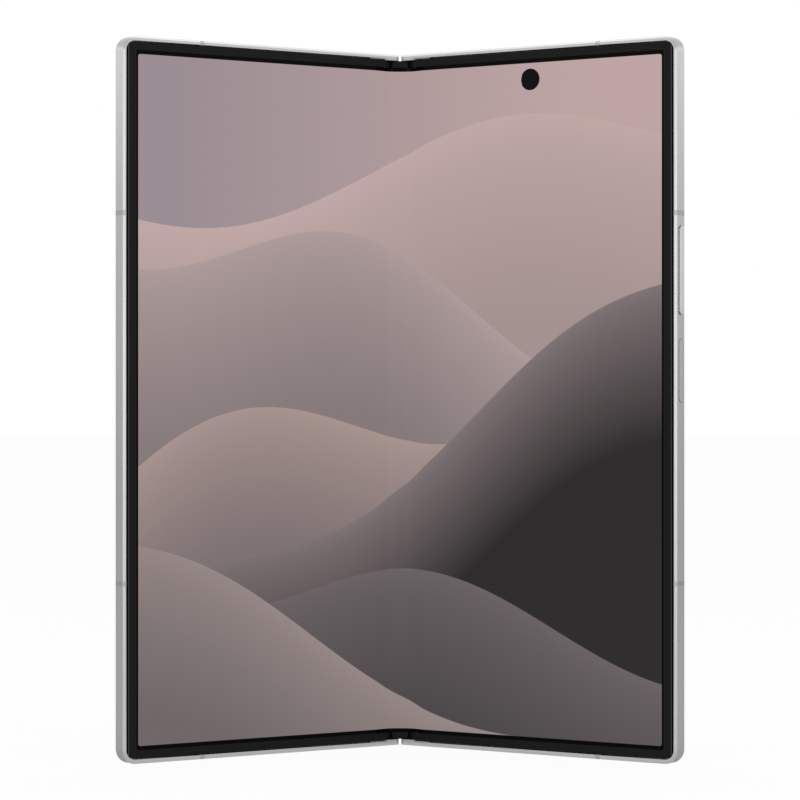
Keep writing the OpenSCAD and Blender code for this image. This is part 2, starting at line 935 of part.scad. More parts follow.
module camera_island() {
  color("#8f9196")
    in_right_half()
      difference() {
        island_pill(island_width, leaf_thickness, leaf_thickness + island_proud);
        for (z = lens_heights())
          post(island_s, z, lens_radius, leaf_thickness - over, leaf_thickness + 5);
      }
}

module camera_modules() {
  color("#26272b")
    in_right_half()
      for (z = lens_heights()) {
        post(island_s, z, lens_radius - 0.04, glass_front - 0.5,
          leaf_thickness + island_proud - 0.5);
        block(island_s - 6.4, island_s + 6.4, bay_front, glass_front - 0.5, z - 6.4, z + 6.4);
      }
}

module lens_windows() {
  color("#101318")
    in_right_half()
      for (z = lens_heights())
        post(island_s, z, lens_radius - 0.04, leaf_thickness + island_proud - 0.5,
          leaf_thickness + island_proud + 0.3);
}

module lens_rings() {
  color("#7d8087")
    in_right_half()
      for (z = lens_heights())
        difference() {
          post(island_s, z, lens_radius + ring_width, leaf_thickness + island_proud,
            leaf_thickness + island_proud + 0.7);
          post(island_s, z, lens_radius, leaf_thickness + island_proud - over,
            leaf_thickness + island_proud + 2);
        }
}

module camera_flash() {
  color("#e8e4d4")
    in_right_half() {
      post(flash_s, flash_z, 2.36, battery_back, leaf_thickness + 0.05);
      block(flash_s - 2.4, flash_s + 2.4, battery_back - 0.3, battery_back,
        flash_z - 2.4, flash_z + 2.4);
    }
}

module inner_camera() {
  color("#0c0d10")
    in_right_half() {
      post(punch_s, punch_z, punch_diameter / 2 - 0.05, bezel_thickness + 0.1, screen_back + 0.2);
      post(punch_s, punch_z, 2.8, screen_back + 0.2, glass_front - 0.3);
    }
}

module socket_body(z0, z1) {
  end_pill(socket_s, socket_y, socket_width + 2 * socket_wall,
    socket_height + 2 * socket_wall, z0, z1);
}

module usb_c_port() {
  color("#b4b6ba")
    in_right_half()
      difference() {
        socket_body(0.4, 8);
        difference() {
          end_pill(socket_s, socket_y, socket_width, socket_height, -over, 7);
          block(socket_s - 3.35, socket_s + 3.35, socket_y - 0.35, socket_y + 0.35, 1.6, 8);
        }
      }
}

module bottom_speaker() {
  color("#2a2b2f")
    in_right_half()
      plate(speaker_in, speaker_out, frame_wall, 0.114 * phone_height,
        bay_front, battery_back, 0.8);
}

module magnets() {
  half_length = 0.038 * phone_height;
  for (share = [0.14, 0.405, 0.845])
    block(magnet_in, magnet_out, bay_front, battery_back,
      share * phone_height - half_length, share * phone_height + half_length);
}

module right_magnets() {
  color("#8a8c92")
    in_right_half()
      magnets();
}

module dome(z) {
  translate([key_flange_in - 0.55, volume_mid_y, z])
    rotate([0, 90, 0])
      cylinder(r = 0.8, h = 0.55 - key_travel, $fn = 32);
}

module key_switch_board() {
  color("#c07a3a")
    in_right_half() {
      block(key_flange_in - 0.75, key_flange_in - 0.55, bay_front,
        volume_mid_y + 0.85, side_z - 0.44 * side_length, volume_z + 0.47 * volume_length);
      dome(side_z);
      dome(volume_z - 0.32 * volume_length);
      dome(volume_z + 0.32 * volume_length);
      translate([key_flange_in - 0.35, volume_mid_y - 0.8, volume_z])
        rotate([-90, 0, 0])
          cylinder(r = 0.35, h = 1.6, $fn = 32);
    }
}

module key(z, length, out) {
  side_pill(z, length, key_width, key_flange_out - 0.05, key_face + out);
  block(key_flange_in, key_flange_out, volume_mid_y - key_width / 2,
    volume_mid_y + key_width / 2, z - length / 2 - 0.75, z + length / 2 + 0.75);
}

module volume_key() {
  color("#c2c4c9")
    in_right_half()
      key(volume_z, volume_length, volume_proud);
}

module side_key() {
  color("#c2c4c9")
    in_right_half()
      key(side_z, side_length, side_proud);
}

// ---------- parts inside the left half ----------

module left_battery() {
  color("#3c3e44")
    in_left_half()
      plate(parts_side, 0.892 * half_width, 0.15 * phone_height, 0.63 * phone_height,
        bay_front, battery_back, 1.5);
}

module left_board() {
  color("#1f4a34")
    in_left_half()
      plate(parts_side, 0.892 * half_width, 0.656 * phone_height,
        phone_height - tray_length - 6, bay_front, bay_front + 0.9, 1);
}

module cover_panel() {
  color("#15161a")
    in_left_half()
      difference() {
        plate(fold_edge + 1.1, half_width - 1.4, 1.7, phone_height - 1.7,
          panel_front, glass_front, 1.4);
        post(camera_s, punch_z, 2.1, 0, leaf_thickness);
      }
}

module cover_glass() {
  color("#1d1f24")
    in_left_half()
      back_pane();
}

module cover_camera() {
  color("#0c0d10")
    in_left_half() {
      post(camera_s, punch_z, 2.06, panel_front, glass_front);
      block(camera_s - cover_camera_half, camera_s + cover_camera_half,
        bay_front, panel_front, punch_z - cover_camera_half, punch_z + cover_camera_half);
    }
}

module ear_speaker() {
  color("#2a2b2f")
    in_left_half()
      plate(ear_in, ear_out, bay_top - 0.044 * phone_height, bay_top,
        bay_front, panel_front, 0.8);
}

module vibration_motor() {
  color("#9c9ea4")
    in_left_half()
      plate(parts_side, rail_end + 0.22 * half_width, 0.025 * phone_height,
        0.088 * phone_height, bay_front, panel_front, 0.8);
}

module left_magnets() {
  color("#8a8c92")
    in_left_half()
      magnets();
}

module tray_slot() {
  end_pill(tray_s, tray_y, tray_face, 1.8, phone_height - 1.35, phone_height + over);
  block(tray_s - 6.2, tray_s + 6.2, tray_y - 0.45, tray_y + 0.45,
    phone_height - tray_length - 3, phone_height);
}

module sim_tray() {
  color("#c2c4c9")
    in_left_half() {
      end_pill(tray_s, tray_y, tray_face - 2 * key_gap, 1.8 - 2 * key_gap,
        phone_height - 1.3, phone_height);
      difference() {
        block(tray_s - 6.1, tray_s + 6.1, tray_y - 0.35, tray_y + 0.35,
          phone_height - tray_length, phone_height - 1.25);
        block(tray_s - 4.4, tray_s + 4.4, tray_y - over, tray_y + over,
          phone_height - tray_length + 1, phone_height - 3);
      }
    }
}

spine_cover();
fold_cap_top();
fold_cap_bottom();
hinge_base_top();
hinge_base_bottom();
gear_block_upper();
gear_block_lower();
gear_shafts();
centre_plate();
spine_screws();
idler_right();
idler_left();
sync_arm_right();
sync_arm_left();
display_fold();
fold_flex();
right_frame();
right_antenna_breaks();
right_bezel();
right_display();
right_display_plate();
right_battery();
charging_coil();
mainboard();
shield_can();
rear_glass();
camera_island();
camera_modules();
lens_windows();
lens_rings();
camera_flash();
inner_camera();
usb_c_port();
bottom_speaker();
right_magnets();
key_switch_board();
rotator_right_top();
rotator_right_bottom();
right_hinge_screws();
volume_key();
side_key();
left_frame();
left_antenna_breaks();
left_bezel();
left_display();
left_display_plate();
left_battery();
left_board();
cover_panel();
cover_glass();
cover_camera();
ear_speaker();
vibration_motor();
left_magnets();
rotator_left_top();
rotator_left_bottom();
left_hinge_screws();
sim_tray();
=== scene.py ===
# %% [markdown]
# # A folding phone, standing half open
# The solids of this phone come from a CAD model, already in their places and in metres.
# This lesson dresses them: soft edges, real finishes, a lit screen that bends across the
# fold, and plain studio light. Run it from top to bottom; each step prints what it made.

# %% Load the frame
import json
import math

import bmesh
import bpy
from mathutils import Matrix, Vector


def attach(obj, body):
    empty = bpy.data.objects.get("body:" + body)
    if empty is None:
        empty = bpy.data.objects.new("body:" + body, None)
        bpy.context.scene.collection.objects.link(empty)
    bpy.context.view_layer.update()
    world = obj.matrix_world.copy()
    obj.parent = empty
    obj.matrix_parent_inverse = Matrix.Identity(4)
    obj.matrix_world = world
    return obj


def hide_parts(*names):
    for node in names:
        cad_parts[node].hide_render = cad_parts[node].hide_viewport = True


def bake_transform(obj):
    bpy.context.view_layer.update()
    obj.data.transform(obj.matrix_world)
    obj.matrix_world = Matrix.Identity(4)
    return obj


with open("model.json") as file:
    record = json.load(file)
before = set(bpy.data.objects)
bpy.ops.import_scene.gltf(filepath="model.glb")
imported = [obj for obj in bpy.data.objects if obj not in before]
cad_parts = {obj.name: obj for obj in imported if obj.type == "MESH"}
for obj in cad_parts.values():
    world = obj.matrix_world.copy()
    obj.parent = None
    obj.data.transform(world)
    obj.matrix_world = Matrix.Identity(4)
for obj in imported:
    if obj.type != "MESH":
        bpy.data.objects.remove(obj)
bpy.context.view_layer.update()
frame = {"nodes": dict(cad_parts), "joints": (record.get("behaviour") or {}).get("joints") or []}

NODES = frame["nodes"]
MM = 0.001
print("solids loaded:", len(NODES))

# %% [markdown]
# ## Where things are
# Each half turns about its own fold axis. The joint in the model says where that axis is
# and how far the phone is folded at rest, so the scene reads both from it. A place in a
# half is given as s (from the fold line outwards), y (from the front to the back) and z,
# in millimetres. That is how the phone is drawn flat, so lengths can be checked by eye.

# %% Fold axes and the turn at rest
right_fold = [j for j in frame["joints"] if j["name"] == "right_fold"][0]
AXIS_X = right_fold["pos_m"][0] / MM
AXIS_DEPTH = 1.05  # the fold axis lies this far behind the front
HINGE_Y = right_fold["pos_m"][1] / MM - AXIS_DEPTH
REST = math.radians(-right_fold["range_deg"][0])
HEIGHT = 158.4
print("folded at rest by", round(math.degrees(REST), 2), "degrees a side")


def in_half(s, y, z, side=1):
    """A place in a half, given in millimetres, as a point of the scene in metres."""
    out = s - AXIS_X
    deep = y - AXIS_DEPTH
    x = AXIS_X + out * math.cos(REST) + deep * math.sin(REST)
    back = AXIS_DEPTH - out * math.sin(REST) + deep * math.cos(REST)
    return Vector((side * x, back + HINGE_Y, z)) * MM


# %% [markdown]
# ## The camera
# The photograph is taken from straight in front, with a long lens, so the near sides of
# the halves look only a little taller than the fold. The distance was found from how
# much the height of the outline grows towards the camera.

# %% Camera
CAMERA_AWAY = 689.0
LENS = 135.14
camera = bpy.data.objects.new("camera", bpy.data.cameras.new("camera"))
bpy.context.scene.collection.objects.link(camera)
camera.data.sensor_width = 36
camera.data.lens = LENS
camera.location = (0, (HINGE_Y - CAMERA_AWAY) * MM, HEIGHT / 2 * MM)
camera.rotation_euler = (math.radians(90), 0, 0)
camera.data.clip_start = 0.01
bpy.context.scene.camera = camera
bpy.context.scene.view_settings.view_transform = "Standard"
print("camera distance from the fold:", CAMERA_AWAY, "mm")

# %% [markdown]
# ## Colours and nodes
# Colours are written as people read them, in sRGB hex. Blender mixes light in linear
# values, so one function converts them. One more adds a node with its settings and
# links, which keeps each material below short enough to read as a recipe.


# %% Colour and node helpers
def linear(code):
    """An sRGB hex colour as a linear colour."""
    parts = [int(code[i:i + 2], 16) / 255 for i in (1, 3, 5)]
    return tuple(c / 12.92 if c <= 0.04045 else ((c + 0.055) / 1.055) ** 2.4
                 for c in parts) + (1.0,)


def add(tree, kind, links=None, **settings):
    """Adds a node; links maps its sockets to numbers, colours or other nodes' sockets."""
    node = tree.nodes.new(kind)
    for name, value in settings.items():
        setattr(node, name, value)
    for socket, value in (links or {}).items():
        target = node.inputs[socket]
        if isinstance(value, bpy.types.NodeSocket):
            tree.links.new(value, target)
        else:
            target.default_value = value
    return node


def new_material(name):
    """An empty material, and the node tree to build it in."""
    material = bpy.data.materials.new(name)
    material.use_nodes = True
    material.node_tree.nodes.clear()
    return material, material.node_tree


def per_mm(size):
    """The scale of a texture whose features are this many millimetres across."""
    return 1.0 / (size * MM)


print("half-way grey in linear light:", round(linear("#808080")[0], 3))

# %% [markdown]
# ## Finishes with a fine grain
# Most parts here are one substance with a fine, even grain: blasted metal, moulded
# plastic, frosted glass. Each could have nodes of its own, but the same few make them
# all. Noise of the grain's size moves the roughness and the height a little, and a
# second, much larger noise shifts the colour by a few percent, as handling and
# anodising do.


# %% A grained finish
PATCH = 28  # size of the broad colour shifts, in millimetres


def grained(name, colour, roughness, grain, metallic=0.0, bump=0.05, drift=0.03,
            ior=1.5, level=0.5, coat=0.0, coat_roughness=0.1):
    """A material of one colour with a fine grain of the given size in millimetres."""
    material, tree = new_material(name)
    place = add(tree, "ShaderNodeTexCoord").outputs["Object"]
    fine = add(tree, "ShaderNodeTexNoise", {"Vector": place, "Scale": per_mm(grain),
                                            "Detail": 3.0, "Roughness": 0.6})
    broad = add(tree, "ShaderNodeTexNoise", {"Vector": place, "Scale": per_mm(PATCH),
                                             "Detail": 2.0})
    base = linear(colour)
    darker = tuple(c * (1 - drift) for c in base[:3]) + (1,)
    lighter = tuple(min(c * (1 + drift), 1) for c in base[:3]) + (1,)
    tone = add(tree, "ShaderNodeMix", {"Factor": broad.outputs["Fac"], 6: darker,
                                       7: lighter}, data_type="RGBA")
    rough = add(tree, "ShaderNodeMapRange", {"Value": fine.outputs["Fac"],
                                             "From Min": 0.25, "From Max": 0.75,
                                             "To Min": roughness * 0.88,
                                             "To Max": roughness * 1.12})
    height = add(tree, "ShaderNodeBump", {"Height": fine.outputs["Fac"],
                                          "Strength": bump, "Distance": grain * MM * 0.2})
    shader = add(tree, "ShaderNodeBsdfPrincipled", {
        "Base Color": tone.outputs[2], "Roughness": rough.outputs["Result"],
        "Metallic": metallic, "Normal": height.outputs["Normal"]})
    if not metallic:
        shader.inputs["IOR"].default_value = ior
        shader.inputs["Specular IOR Level"].default_value = level
    if coat:
        shader.inputs["Coat Weight"].default_value = coat
        shader.inputs["Coat Roughness"].default_value = coat_roughness
    add(tree, "ShaderNodeOutputMaterial", {"Surface": shader.outputs["BSDF"]})
    return material


print("noise scale for a grain of 0.3 mm:", round(per_mm(0.3)))

# %% [markdown]
# ## The metals
# The frame is aluminium, blasted with fine beads and then anodised: it has no direction
# and a soft, broad highlight. The volume key and the card tray are the same metal with a
# finer blast, so they are brighter. The side key reads fingerprints through a clear coat,
# which keeps it as dark as the frame. The grain of a bead blast is about 0.05 mm; it is
# drawn at 0.3 mm, or it would not show. The steels are rubbed one way, so their noise is
# stretched along the phone.

# %% Metals
# soft and even, with a broad highlight
blasted_aluminium = grained("bead_blasted_aluminium", "#AEAEAF", 0.31, 0.30,
                            metallic=1.0, bump=0.05)
# brighter, with a tighter highlight
satin_aluminium = grained("satin_anodised_aluminium", "#C4C4C5", 0.26, 0.22,
                          metallic=1.0, bump=0.06)
# as dark as the frame, with a finer grain, like metal under varnish
sensor_coat = grained("clear_coated_sensor_key", "#ADADAE", 0.32, 0.22,
                      metallic=1.0, bump=0.04)
# a little smoother than the frame
spine_aluminium = grained("satin_spine_aluminium", "#B4B5B9", 0.28, 0.25,
                          metallic=1.0, bump=0.06)
# much smoother than the plate under them, so that the rings shine
turned_aluminium = grained("turned_ring_aluminium", "#A9ABB0", 0.18, 0.2,
                           metallic=1.0, bump=0.04)
# hard small highlights
pin_steel = grained("polished_pin_steel", "#B6B7BA", 0.16, 0.2, metallic=1.0, bump=0.03)
# a warm, faintly yellow shine
nickel_plate = grained("nickel_plated_magnet", "#A8A6A0", 0.22, 0.4, metallic=1.0)


def brushed_steel(name, colour, roughness):
    """Steel rubbed one way: long streaks along z, 0.25 mm apart."""
    material, tree = new_material(name)
    place = add(tree, "ShaderNodeTexCoord").outputs["Object"]
    streak = add(tree, "ShaderNodeMapping", {"Vector": place, "Scale": (1, 1, 0.03)})
    noise = add(tree, "ShaderNodeTexNoise", {"Vector": streak.outputs["Vector"],
                                             "Scale": per_mm(0.25), "Detail": 3.0})
    rough = add(tree, "ShaderNodeMapRange", {"Value": noise.outputs["Fac"],
                                             "To Min": roughness * 0.8,
                                             "To Max": roughness * 1.25})
    base = linear(colour)
    tone = add(tree, "ShaderNodeMix", {"Factor": noise.outputs["Fac"],
                                       6: tuple(c * 0.9 for c in base[:3]) + (1,),
                                       7: base}, data_type="RGBA")
    height = add(tree, "ShaderNodeBump", {"Height": noise.outputs["Fac"],
                                          "Strength": 0.08, "Distance": 0.00003})
    shader = add(tree, "ShaderNodeBsdfPrincipled", {
        "Base Color": tone.outputs[2], "Metallic": 1.0,
        "Roughness": rough.outputs["Result"], "Normal": height.outputs["Normal"]})
    add(tree, "ShaderNodeOutputMaterial", {"Surface": shader.outputs["BSDF"]})
    return material


machined_steel = brushed_steel("machined_hinge_steel", "#9EA0A5", 0.30)
plate_steel = brushed_steel("brushed_plate_steel", "#84868C", 0.35)
shell_steel = brushed_steel("drawn_shell_steel", "#B0B1B4", 0.25)
print("hinge steel, plate steel and shell steel made; nodes in each:",
      len(shell_steel.node_tree.nodes))

# %% [markdown]
# ## Plastics, glass and the inner parts
# The bezel is a soft black polymer strip, matte, with a very fine texture. The antenna
# lines are plastic under a metallic lacquer that nearly matches the frame: a little
# darker and duller, which is why they show. The back is frosted glass: a light grey
# coat seen through an etched surface. What lies inside gets the finish it has in such a
# phone too, since it shows wherever the phone is taken apart.

# %% Plastics and glass
# bezel: matte, nearly black; the lip's line of light is partly its real, stronger
# reflection and partly painted highlight in a lighter colour; the groove and the inner edge
# are painted shade, darker and almost without reflection
soft_black = grained("soft_touch_black_polymer", "#0F0F10", 0.50, 0.25, bump=0.10,
                     level=0.11)
lip_painted_highlight = grained("moulded_lip_painted_highlight", "#17171A", 0.30, 0.25, bump=0.03,
                     level=0.80)
groove_painted_shade = grained("matte_black_painted_groove_shade", "#0B0B0C", 0.60, 0.25, level=0.03)
# spine caps: black, a little shinier than the bezel
cap_black = grained("moulded_black_plastic", "#0F0F10", 0.42, 0.25, bump=0.06,
                    level=0.10)
# almost metal, a shade darker
antenna_plastic = grained("lacquered_antenna_plastic", "#9C9C9E", 0.36, 0.3,
                          metallic=0.85, bump=0.06)
# light grey under a soft silky coat
frosted_glass = grained("frosted_back_glass", "#A9ABB0", 0.34, 0.30, bump=0.05,
                        ior=1.52, coat=0.25, coat_roughness=0.22)
# a darker metal than the frame, so that the rings stand out on it
island_metal = grained("matte_camera_plate", "#8F9196", 0.36, 0.28, metallic=1.0,
                       bump=0.06)
# milky, faintly yellow
flash_lens = grained("cloudy_flash_lens", "#E6E0CC", 0.28, 0.5, bump=0.15, ior=1.5)
# amber film, crinkled foil, red-brown wire, glossy green lacquer, dull grey plastic,
# bright gold
film = grained("polyimide_film", "#A9752E", 0.30, 0.6, bump=0.04)
foil_wrap = grained("battery_foil_wrap", "#3A3B3F", 0.38, 1.2, bump=0.15)
copper = grained("wound_copper", "#B87545", 0.30, 0.2, metallic=1.0, bump=0.2)
solder_mask = grained("green_solder_mask", "#1F4A36", 0.25, 0.8, bump=0.2)
module_plastic = grained("moulded_module_plastic", "#2A2B2E", 0.50, 0.3)
gold_contact = grained("gold_plated_contact", "#D8B263", 0.20, 0.2, metallic=1.0)
# behind the screen: dull and dark, lets no light through
backing_film = grained("dark_backing_film", "#151517", 0.45, 0.4, level=0.3)
print("materials so far:", len(bpy.data.materials))

# %% [markdown]
# ## The lit screen
# The screen is a glossy film over lit pixels. Its picture is a generic one: broad paper
# waves, one behind the other, from dusty pink at the top to charcoal at the lower right.
# An image file could hold it, but a picture made by nodes stays sharp at any distance.
# Each wave is a sine curve in the flat screen's millimetres; above the curve the
# picture behind it shows, and below it the wave's own colour fades away from its lit
# crest. The mesh carries a UV map with its flat place, so the picture runs unbroken
# across the fold. Outside the picture lies a thin black border with small round corners.

# %% Screen picture
UV_WIDTH, UV_HEIGHT = 150.0, 160.0
PICTURE_HALF = (67.9, 75.35)
PICTURE_CORNER = 0.55
AREA_EDGE = 25.0  # the edge of an area fades over 1/25 mm
WAVE_EDGE = 5.0  # the edge of a wave fades over 1/5 mm
# height at the fold, rise to the right, swing, length of a swing, shift, colour at the
# crest, colour further down, how far the fade reaches; all lengths in millimetres
WAVES = [
    (52.0, 0.10, 9.0, 150.0, 0.4, "#C0A8A5", "#A3918F", 46.0),
    (24.0, -0.22, 11.0, 128.0, 2.1, "#AE9B9B", "#85797A", 40.0),
    (-2.0, 0.30, 13.0, 140.0, 3.7, "#A8948F", "#71676A", 42.0),
    (-14.0, 0.52, 7.0, 118.0, 5.2, "#7F7476", "#2E2B2C", 34.0),
    (-46.0, -0.12, 8.0, 132.0, 1.2, "#6B6365", "#454142", 40.0),
    (-62.0, -0.38, 6.0, 120.0, 4.4, "#968886", "#6F6668", 36.0),
]


def number(tree, operation, *values, clamp=False):
    """A Math node over numbers or sockets."""
    return add(tree, "ShaderNodeMath", dict(enumerate(values)), operation=operation,
               use_clamp=clamp).outputs[0]


def flat_place(tree, s=0.0, z=HEIGHT / 2):
    """The place on the flat screen in millimetres, counted from the point (s, z)."""
    uv = add(tree, "ShaderNodeUVMap", uv_map="screen_flat").outputs["UV"]
    flat = add(tree, "ShaderNodeVectorMath", {0: uv, 1: (UV_WIDTH, UV_HEIGHT, 0)},
               operation="MULTIPLY").outputs[0]
    return add(tree, "ShaderNodeVectorMath", {0: flat, 1: (UV_WIDTH / 2 + s, z, 0)},
               operation="SUBTRACT").outputs[0]


def rounded_area(tree, flat, half, corner):
    """1 in a rectangle about the flat place's zero, 0 outside; its corners are round."""
    out = add(tree, "ShaderNodeVectorMath", {0: flat}, operation="ABSOLUTE").outputs[0]
    straight = (half[0] - corner, half[1] - corner, 0)
    out = add(tree, "ShaderNodeVectorMath", {0: out, 1: straight},
              operation="SUBTRACT").outputs[0]
    out = add(tree, "ShaderNodeVectorMath", {0: out, 1: (0, 0, 0)},
              operation="MAXIMUM").outputs[0]
    off = add(tree, "ShaderNodeVectorMath", {0: out}, operation="LENGTH").outputs["Value"]
    return number(tree, "MULTIPLY", number(tree, "SUBTRACT", corner, off), AREA_EDGE,
                  clamp=True)


def lit_screen():
    """The glossy folding screen, showing a generic picture of paper waves."""
    material, tree = new_material("lit_folding_screen")
    flat = flat_place(tree)
    parts = add(tree, "ShaderNodeSeparateXYZ", {0: flat})
    across, up = parts.outputs["X"], parts.outputs["Y"]
    # behind the waves, a plain ground that turns pinker to the right
    sky = number(tree, "MULTIPLY_ADD", across, 1 / 110, 0.55, clamp=True)
    picture = add(tree, "ShaderNodeMix", {"Factor": sky, 6: linear("#998C92"),
                                          7: linear("#BDA4A2")},
                  data_type="RGBA").outputs[2]
    for rest, rise, swing, length, shift, crest, deep, reach in WAVES:
        angle = number(tree, "MULTIPLY_ADD", across, 2 * math.pi / length, shift)
        line = number(tree, "MULTIPLY_ADD", number(tree, "SINE", angle), swing,
                      number(tree, "MULTIPLY_ADD", across, rise, rest))
        below = number(tree, "SUBTRACT", line, up)
        fade = number(tree, "DIVIDE", below, reach, clamp=True)
        fade = number(tree, "POWER", fade, 0.7)
        own = add(tree, "ShaderNodeMix", {"Factor": fade, 6: linear(crest),
                                          7: linear(deep)}, data_type="RGBA").outputs[2]
        inside = number(tree, "MULTIPLY", below, WAVE_EDGE, clamp=True)
        picture = add(tree, "ShaderNodeMix", {"Factor": inside, 6: picture, 7: own},
                      data_type="RGBA").outputs[2]
    lit = rounded_area(tree, flat, PICTURE_HALF, PICTURE_CORNER)
    glow = add(tree, "ShaderNodeMix", {"Factor": lit, 6: linear("#010101"), 7: picture},
               data_type="RGBA").outputs[2]
    # the soft film is faintly wavy, in patches of about 9 mm
    place = add(tree, "ShaderNodeTexCoord").outputs["Object"]
    ripple = add(tree, "ShaderNodeTexNoise", {"Vector": place, "Scale": per_mm(9.0),
                                              "Detail": 1.0})
    height = add(tree, "ShaderNodeBump", {"Height": ripple.outputs["Fac"],
                                          "Strength": 0.02, "Distance": 0.00005})
    shader = add(tree, "ShaderNodeBsdfPrincipled", {
        "Base Color": linear("#040404"), "Roughness": 0.10, "IOR": 1.5,
        "Specular IOR Level": 0.03, "Emission Color": glow, "Emission Strength": 1.0,
        "Normal": height.outputs["Normal"]})
    add(tree, "ShaderNodeOutputMaterial", {"Surface": shader.outputs["BSDF"]})
    return material


folding_screen = lit_screen()
print("waves in the picture:", len(WAVES))

# %% [markdown]
# ## Polished black glass
# The outer screen is off, so it is a black mirror. Real glass is never quite even: a
# faint, broad unevenness in its roughness is enough, like the film of a dry wipe. Through
# the outer glass the panel shows a little lighter than its border, and near the
# top there are the rings of a small camera. They lie behind polished glass, where no
# edge can be felt, so they are drawn in its colour and need no shape.

# %% Places behind the glass
CAMERA_Z = 150.87  # both small cameras, inner and outer
OUTER_CAMERA_S = -35.8
OUTER_PANEL_S, OUTER_PANEL_HALF, OUTER_PANEL_CORNER = -37.6, (31.6, 76.1), 2.2
# radius and colour of each ring of the outer camera, from its seat to its lens
OUTER_RINGS = ((2.3, "#020203"), (1.9, "#34353A"), (1.65, "#08090C"), (0.8, "#161A2C"))
print("rings of the outer camera:", len(OUTER_RINGS))


# %% Black glass
def black_glass(name, colour, roughness, level=0.5):
    """Polished glass with something dark behind it."""
    material, tree = new_material(name)
    place = add(tree, "ShaderNodeTexCoord").outputs["Object"]
    smear = add(tree, "ShaderNodeTexNoise", {"Vector": place, "Scale": per_mm(18),
                                             "Detail": 4.0, "Distortion": 0.6})
    rough = add(tree, "ShaderNodeMapRange", {"Value": smear.outputs["Fac"],
                                             "From Min": 0.3, "From Max": 0.7,
                                             "To Min": roughness,
                                             "To Max": roughness * 2})
    shader = add(tree, "ShaderNodeBsdfPrincipled", {
        "Base Color": linear(colour), "Roughness": rough.outputs["Result"],
        "IOR": 1.52, "Specular IOR Level": level})
    add(tree, "ShaderNodeOutputMaterial", {"Surface": shader.outputs["BSDF"]})
    return material


def outer_screen():
    """Polished glass over an unlit panel, with a dark border and a camera behind it."""
    material = black_glass("polished_cover_glass", "#050506", 0.04, level=0.34)
    tree = material.node_tree
    panel = rounded_area(tree, flat_place(tree, s=OUTER_PANEL_S), OUTER_PANEL_HALF,
                         OUTER_PANEL_CORNER)
    tone = add(tree, "ShaderNodeMix", {"Factor": panel, 6: linear("#040405"),
                                       7: linear("#0E0E11")},
               data_type="RGBA").outputs[2]
    for radius, colour in OUTER_RINGS:
        spot = rounded_area(tree, flat_place(tree, s=OUTER_CAMERA_S, z=CAMERA_Z),
                            (radius, radius), radius)
        tone = add(tree, "ShaderNodeMix", {"Factor": spot, 6: tone, 7: linear(colour)},
                   data_type="RGBA").outputs[2]
    shader = [n for n in tree.nodes if n.type == "BSDF_PRINCIPLED"][0]
    tree.links.new(tone, shader.inputs["Base Color"])
    return material


cover_glass_finish = outer_screen()
lens_glass_finish = black_glass("coated_lens_glass", "#0B0D16", 0.03, level=0.7)
lens_barrel_finish = black_glass("black_lens_barrel", "#101012", 0.35, level=0.3)
inner_lens_finish = black_glass("inner_camera_glass", "#050506", 0.06, level=0.05)
panel_finish = black_glass("unlit_panel", "#08080A", 0.2)
print("nodes behind the outer glass:", len(cover_glass_finish.node_tree.nodes))

# %% [markdown]
# ## Softening a CAD solid
# A CAD solid arrives as loose triangles with knife edges. To dress it, copy it, merge
# its corners, join the flat triangles into whole faces, and bevel the sharp edges by
# the small radius that machining or moulding leaves. A Bevel modifier would do it too,
# but it takes edges by their angle or by a weight; the operator takes a plain list.
# Short edges are parts of small round holes; beveling them would fold the mesh, so they
# stay as they are.


# %% Dress a solid
MERGE = 0.002  # millimetres; corners closer than this become one
FLAT = 0.3  # degrees; faces that meet at less become one
SHARP = 30  # degrees; edges between faces that meet at more are beveled
CREASE = 32  # degrees; faces that meet at more stay visibly apart


def sharp_edges(mesh, angle, shortest):
    """Edges between faces that meet at more than an angle, and are long enough."""
    return [e for e in mesh.edges if len(e.link_faces) == 2
            and e.calc_face_angle(0) > math.radians(angle)
            and e.calc_length() > shortest * MM]


def finish_shading(obj, angle):
    """Smooth faces with creases at sharp edges, and big flat faces kept truly flat."""
    mesh = bmesh.new()
    mesh.from_mesh(obj.data)
    for face in mesh.faces:
        face.smooth = True
    for edge in mesh.edges:
        edge.smooth = len(edge.link_faces) == 2 and (
            edge.calc_face_angle(0) < math.radians(angle))
    mesh.to_mesh(obj.data)
    mesh.free()
    weighted = obj.modifiers.new("flat_faces_stay_flat", "WEIGHTED_NORMAL")
    weighted.keep_sharp = True
    weighted.weight = 60


def new_piece(name, mesh, body, material, shade=CREASE):
    """Turns a bmesh into a finished piece that rides on a body, if one is given."""
    data = bpy.data.meshes.new(name)
    mesh.to_mesh(data)
    mesh.free()
    if "custom_normal" in data.attributes:
        data.attributes.remove(data.attributes["custom_normal"])
    obj = bpy.data.objects.new(name, data)
    bpy.context.scene.collection.objects.link(obj)
    data.materials.clear()
    data.materials.append(material)
    finish_shading(obj, shade)
    if body:
        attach(obj, body)
    return obj


def merged_copy(node):
    """A CAD node's shape with its corners merged and its flat faces joined."""
    mesh = bmesh.new()
    mesh.from_mesh(NODES[node].data)
    bmesh.ops.remove_doubles(mesh, verts=mesh.verts[:], dist=MERGE * MM)
    bmesh.ops.dissolve_limit(mesh, angle_limit=math.radians(FLAT), verts=mesh.verts[:],
                             edges=mesh.edges[:])
    return mesh


def dress(node, body, material, radius, shortest=0.3, segments=2, shade=CREASE,
          chosen=None):
    """A softened copy of a CAD node that stands for it; chosen tests which edges."""
    mesh = merged_copy(node)
    if radius:
        edges = [e for e in sharp_edges(mesh, SHARP, shortest) if not chosen or chosen(e)]
        bmesh.ops.bevel(mesh, geom=edges, offset=radius * MM,
                        offset_type="OFFSET", segments=segments, profile=0.5,
                        affect="EDGES", clamp_overlap=False, material=-1)
    obj = new_piece(node + "_finished", mesh, body, material, shade)
    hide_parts(node)
    print(node, "faces:", len(obj.data.polygons))
    return obj


